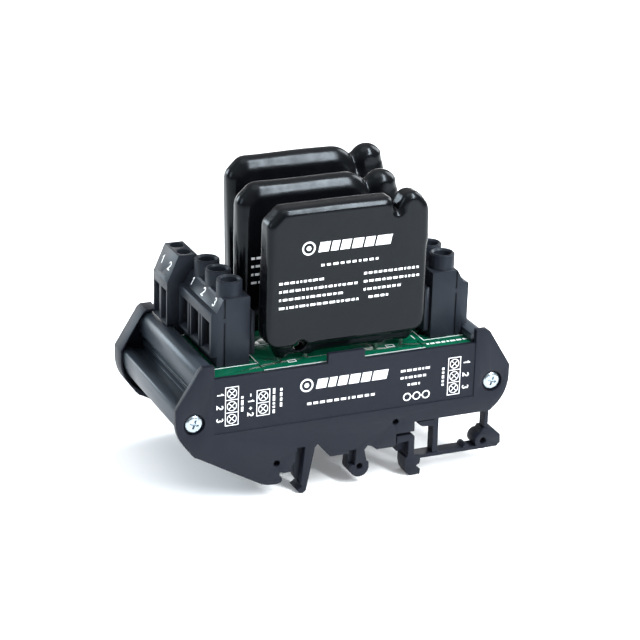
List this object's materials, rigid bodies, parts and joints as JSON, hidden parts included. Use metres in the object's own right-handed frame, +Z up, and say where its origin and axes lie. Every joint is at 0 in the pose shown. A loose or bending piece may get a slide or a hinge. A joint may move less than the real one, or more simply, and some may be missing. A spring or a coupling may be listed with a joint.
{
  "type": "solid state relay",
  "caption": "Solid state relay assembly: upright dipped relay modules and screw terminals on a board in a carrier that clips to a DIN rail.",
  "frame": {"origin": "bottom centre of the whole part's box, under the middle of the carrier, at the level of the foot tips", "axes": "+X across the rail towards the line terminals, +Y along the rail from the front end plate to the back one, +Z up, away from the rail"},
  "size_m": [0.09, 0.046, 0.0762],
  "materials": {
    "extruded_plastic": "satin black extrusion with fine die lines",
    "moulded_plastic": "fine-textured charcoal moulding",
    "terminal_plastic": "satin charcoal moulding",
    "epoxy_coating": "glossy dipped black epoxy",
    "circuit_board": "green solder mask with white print",
    "ceramic": "white alumina",
    "chip_package": "black moulded package",
    "tinned_metal": "tin plated copper",
    "zinc_screw": "bright zinc plate",
    "clamp_screw": "bright zinc plate",
    "white_print": "pad-printed white ink",
    "solder": "bright solder",
    "clamp_cage": "plated steel, slightly warm"
  },
  "bodies": {
    "carrier": {"carrier_profile": "extruded_plastic", "front_end_plate": "moulded_plastic", "back_end_plate": "moulded_plastic", "front_plate_screws": "zinc_screw", "back_plate_screws": "zinc_screw", "circuit_board": "circuit_board", "relay_coating_1": "epoxy_coating", "relay_coating_2": "epoxy_coating", "relay_coating_3": "epoxy_coating", "relay_substrate_1": "ceramic", "relay_substrate_2": "ceramic", "relay_substrate_3": "ceramic", "relay_thyristors_1": "chip_package", "relay_thyristors_2": "chip_package", "relay_thyristors_3": "chip_package", "relay_coupler_1": "chip_package", "relay_coupler_2": "chip_package", "relay_coupler_3": "chip_package", "relay_leads_1": "tinned_metal", "relay_leads_2": "tinned_metal", "relay_leads_3": "tinned_metal", "load_terminal_housing": "terminal_plastic", "line_terminal_housing": "terminal_plastic", "control_terminal_housing": "terminal_plastic", "load_contact_tabs": "tinned_metal", "line_contact_tabs": "tinned_metal", "control_contact_tabs": "tinned_metal"},
    "front_rail_latch": {"front_rail_latch": "moulded_plastic"},
    "back_rail_latch": {"back_rail_latch": "moulded_plastic"},
    "load_screw_1": {"load_screw_1": "clamp_screw"},
    "load_clamp_1": {"load_clamp_1": "clamp_cage"},
    "load_screw_2": {"load_screw_2": "clamp_screw"},
    "load_clamp_2": {"load_clamp_2": "clamp_cage"},
    "load_screw_3": {"load_screw_3": "clamp_screw"},
    "load_clamp_3": {"load_clamp_3": "clamp_cage"},
    "line_screw_1": {"line_screw_1": "clamp_screw"},
    "line_clamp_1": {"line_clamp_1": "clamp_cage"},
    "line_screw_2": {"line_screw_2": "clamp_screw"},
    "line_clamp_2": {"line_clamp_2": "clamp_cage"},
    "line_screw_3": {"line_screw_3": "clamp_screw"},
    "line_clamp_3": {"line_clamp_3": "clamp_cage"},
    "control_screw_1": {"control_screw_1": "clamp_screw"},
    "control_clamp_1": {"control_clamp_1": "clamp_cage"},
    "control_screw_2": {"control_screw_2": "clamp_screw"},
    "control_clamp_2": {"control_clamp_2": "clamp_cage"}
  },
  "joints": [
    {"name": "front_latch_pull", "type": "slide", "parent": "carrier", "child": "front_rail_latch", "axis": [1, 0, 0], "range_m": [0, 0.002], "stiffness_N_per_m": 1500},
    {"name": "back_latch_pull", "type": "slide", "parent": "carrier", "child": "back_rail_latch", "axis": [1, 0, 0], "range_m": [0, 0.002], "stiffness_N_per_m": 1500},
    {"name": "load_screw_turn_1", "type": "hinge", "parent": "carrier", "child": "load_screw_1", "pos_m": [-0.0275, 0.00305, 0.0489], "axis": [0, 0, 1], "range_deg": [-1802, 0]},
    {"name": "load_clamp_rise_1", "type": "slide", "parent": "carrier", "child": "load_clamp_1", "axis": [0, 0, 1], "range_m": [0, 0.0025]},
    {"name": "load_screw_turn_2", "type": "hinge", "parent": "carrier", "child": "load_screw_2", "pos_m": [-0.0275, -0.00457, 0.0489], "axis": [0, 0, 1], "range_deg": [-1802, 0]},
    {"name": "load_clamp_rise_2", "type": "slide", "parent": "carrier", "child": "load_clamp_2", "axis": [0, 0, 1], "range_m": [0, 0.0025]},
    {"name": "load_screw_turn_3", "type": "hinge", "parent": "carrier", "child": "load_screw_3", "pos_m": [-0.0275, -0.01219, 0.0489], "axis": [0, 0, 1], "range_deg": [-1802, 0]},
    {"name": "load_clamp_rise_3", "type": "slide", "parent": "carrier", "child": "load_clamp_3", "axis": [0, 0, 1], "range_m": [0, 0.0025]},
    {"name": "line_screw_turn_1", "type": "hinge", "parent": "carrier", "child": "line_screw_1", "pos_m": [0.0298, 0.00305, 0.0489], "axis": [0, 0, 1], "range_deg": [-1802, 0]},
    {"name": "line_clamp_rise_1", "type": "slide", "parent": "carrier", "child": "line_clamp_1", "axis": [0, 0, 1], "range_m": [0, 0.0025]},
    {"name": "line_screw_turn_2", "type": "hinge", "parent": "carrier", "child": "line_screw_2", "pos_m": [0.0298, -0.00457, 0.0489], "axis": [0, 0, 1], "range_deg": [-1802, 0]},
    {"name": "line_clamp_rise_2", "type": "slide", "parent": "carrier", "child": "line_clamp_2", "axis": [0, 0, 1], "range_m": [0, 0.0025]},
    {"name": "line_screw_turn_3", "type": "hinge", "parent": "carrier", "child": "line_screw_3", "pos_m": [0.0298, -0.01219, 0.0489], "axis": [0, 0, 1], "range_deg": [-1802, 0]},
    {"name": "line_clamp_rise_3", "type": "slide", "parent": "carrier", "child": "line_clamp_3", "axis": [0, 0, 1], "range_m": [0, 0.0025]},
    {"name": "control_screw_turn_1", "type": "hinge", "parent": "carrier", "child": "control_screw_1", "pos_m": [-0.0311, 0.01498, 0.0489], "axis": [0, 0, 1], "range_deg": [-1602, 0]},
    {"name": "control_clamp_rise_1", "type": "slide", "parent": "carrier", "child": "control_clamp_1", "axis": [0, 0, 1], "range_m": [0, 0.002]},
    {"name": "control_screw_turn_2", "type": "hinge", "parent": "carrier", "child": "control_screw_2", "pos_m": [-0.0311, 0.0099, 0.0489], "axis": [0, 0, 1], "range_deg": [-1602, 0]},
    {"name": "control_clamp_rise_2", "type": "slide", "parent": "carrier", "child": "control_clamp_2", "axis": [0, 0, 1], "range_m": [0, 0.002]}
  ],
  "couplings": [
    {"joint": "load_screw_turn_1", "follows": "load_clamp_rise_1", "rad_per_m": -12566},
    {"joint": "load_screw_turn_2", "follows": "load_clamp_rise_2", "rad_per_m": -12566},
    {"joint": "load_screw_turn_3", "follows": "load_clamp_rise_3", "rad_per_m": -12566},
    {"joint": "line_screw_turn_1", "follows": "line_clamp_rise_1", "rad_per_m": -12566},
    {"joint": "line_screw_turn_2", "follows": "line_clamp_rise_2", "rad_per_m": -12566},
    {"joint": "line_screw_turn_3", "follows": "line_clamp_rise_3", "rad_per_m": -12566},
    {"joint": "control_screw_turn_1", "follows": "control_clamp_rise_1", "rad_per_m": -13963},
    {"joint": "control_screw_turn_2", "follows": "control_clamp_rise_2", "rad_per_m": -13963}
  ]
}
